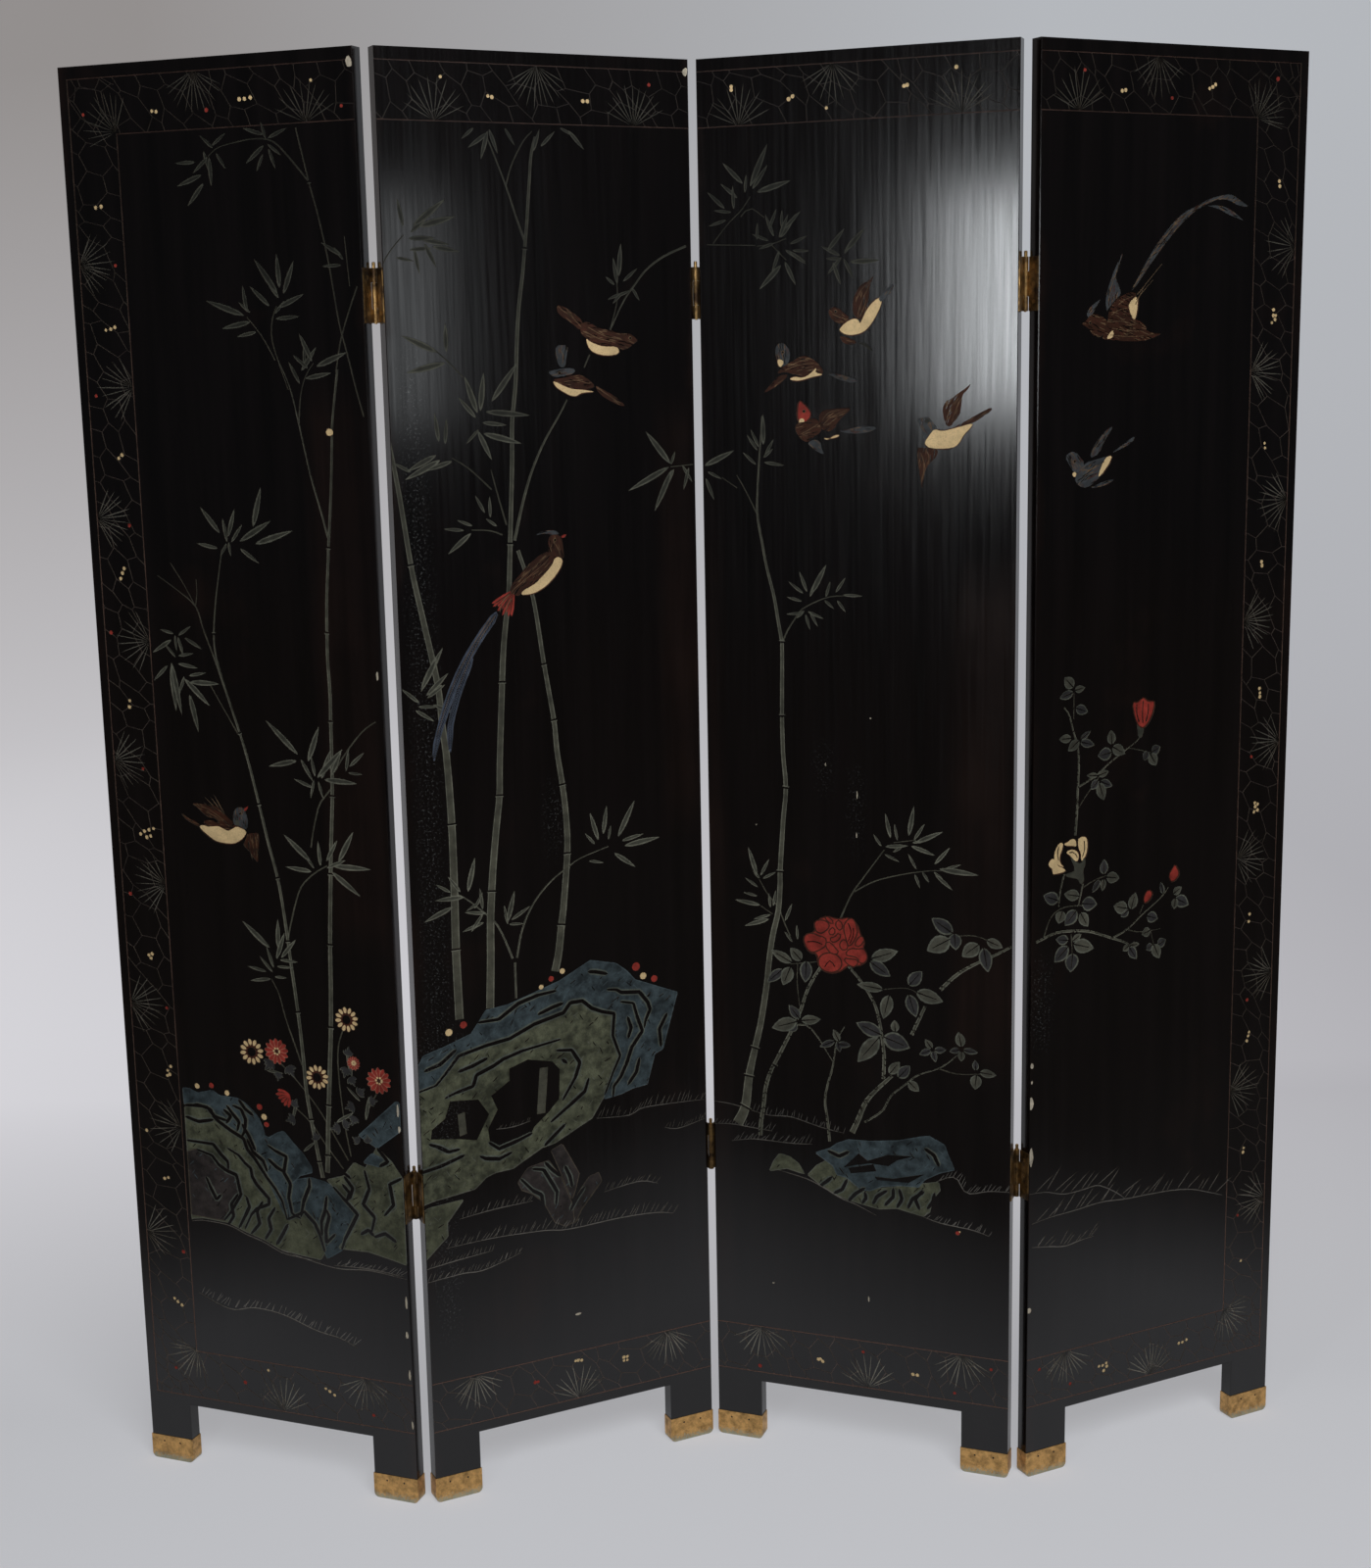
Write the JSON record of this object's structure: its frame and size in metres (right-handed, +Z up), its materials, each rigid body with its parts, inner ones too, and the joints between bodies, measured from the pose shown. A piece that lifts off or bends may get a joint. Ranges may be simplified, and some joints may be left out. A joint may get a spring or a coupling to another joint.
{
  "type": "folding screen",
  "caption": "Folding room screen of tall black lacquer panels, carved and coloured with birds, bamboo and rocks, on loose-pin brass hinges and brass-shod legs.",
  "frame": {"origin": "on the floor under the middle of the standing zigzag", "axes": "+Z up, -Y towards the carved front, +X from the first panel to the last"},
  "size_m": [1.5506, 0.1814, 1.83],
  "materials": {
    "front_lacquer": "near-black lacquer on gesso, carved and coloured, softly polished and rubbed",
    "back_lacquer": "plain near-black lacquer, satin",
    "lacquered_wood": "black lacquer on the edges, chipped to pale ground at the corners",
    "pine": "bare softwood boards, hidden inside the panel",
    "hinge_brass": "old brass, browned with bright rubbed edges",
    "shoe_brass": "thin sheet brass, worn, with pale green corrosion along the floor",
    "nail_iron": "small dark iron nails"
  },
  "bodies": {
    "panel_1": {"panel_1_core_planks": "pine", "panel_1_left_stile": "lacquered_wood", "panel_1_right_stile": "lacquered_wood", "panel_1_top_rail": "lacquered_wood", "panel_1_bottom_rail": "lacquered_wood", "panel_1_front_lacquer": "front_lacquer", "panel_1_back_lacquer": "back_lacquer", "panel_1_left_shoe": "shoe_brass", "panel_1_right_shoe": "shoe_brass", "panel_1_shoe_nails": "nail_iron", "panel_1_hinge_screws": "hinge_brass", "hinge_1_2_upper_left_leaf": "hinge_brass", "hinge_1_2_lower_left_leaf": "hinge_brass", "hinge_1_2_pins": "hinge_brass"},
    "panel_2": {"panel_2_core_planks": "pine", "panel_2_left_stile": "lacquered_wood", "panel_2_right_stile": "lacquered_wood", "panel_2_top_rail": "lacquered_wood", "panel_2_bottom_rail": "lacquered_wood", "panel_2_front_lacquer": "front_lacquer", "panel_2_back_lacquer": "back_lacquer", "panel_2_left_shoe": "shoe_brass", "panel_2_right_shoe": "shoe_brass", "panel_2_shoe_nails": "nail_iron", "panel_2_hinge_screws": "hinge_brass", "hinge_1_2_upper_right_leaf": "hinge_brass", "hinge_1_2_lower_right_leaf": "hinge_brass", "hinge_2_3_upper_left_leaf": "hinge_brass", "hinge_2_3_lower_left_leaf": "hinge_brass", "hinge_2_3_pins": "hinge_brass"},
    "panel_3": {"panel_3_core_planks": "pine", "panel_3_left_stile": "lacquered_wood", "panel_3_right_stile": "lacquered_wood", "panel_3_top_rail": "lacquered_wood", "panel_3_bottom_rail": "lacquered_wood", "panel_3_front_lacquer": "front_lacquer", "panel_3_back_lacquer": "back_lacquer", "panel_3_left_shoe": "shoe_brass", "panel_3_right_shoe": "shoe_brass", "panel_3_shoe_nails": "nail_iron", "panel_3_hinge_screws": "hinge_brass", "hinge_2_3_upper_right_leaf": "hinge_brass", "hinge_2_3_lower_right_leaf": "hinge_brass", "hinge_3_4_upper_left_leaf": "hinge_brass", "hinge_3_4_lower_left_leaf": "hinge_brass", "hinge_3_4_pins": "hinge_brass"},
    "panel_4": {"panel_4_core_planks": "pine", "panel_4_left_stile": "lacquered_wood", "panel_4_right_stile": "lacquered_wood", "panel_4_top_rail": "lacquered_wood", "panel_4_bottom_rail": "lacquered_wood", "panel_4_front_lacquer": "front_lacquer", "panel_4_back_lacquer": "back_lacquer", "panel_4_left_shoe": "shoe_brass", "panel_4_right_shoe": "shoe_brass", "panel_4_shoe_nails": "nail_iron", "panel_4_hinge_screws": "hinge_brass", "hinge_3_4_upper_right_leaf": "hinge_brass", "hinge_3_4_lower_right_leaf": "hinge_brass"}
  },
  "joints": [
    {"name": "fold_1_2", "type": "hinge", "parent": "panel_2", "child": "panel_1", "pos_m": [-0.38951, -0.06996, 0], "axis": [0, 0, -1], "range_deg": [-47, 133]},
    {"name": "fold_2_3", "type": "hinge", "parent": "panel_2", "child": "panel_3", "pos_m": [0, 0.06996, 0], "axis": [0, 0, -1], "range_deg": [-47, 133]},
    {"name": "fold_3_4", "type": "hinge", "parent": "panel_3", "child": "panel_4", "pos_m": [0.38951, -0.06996, 0], "axis": [0, 0, 1], "range_deg": [-47, 133]}
  ]
}
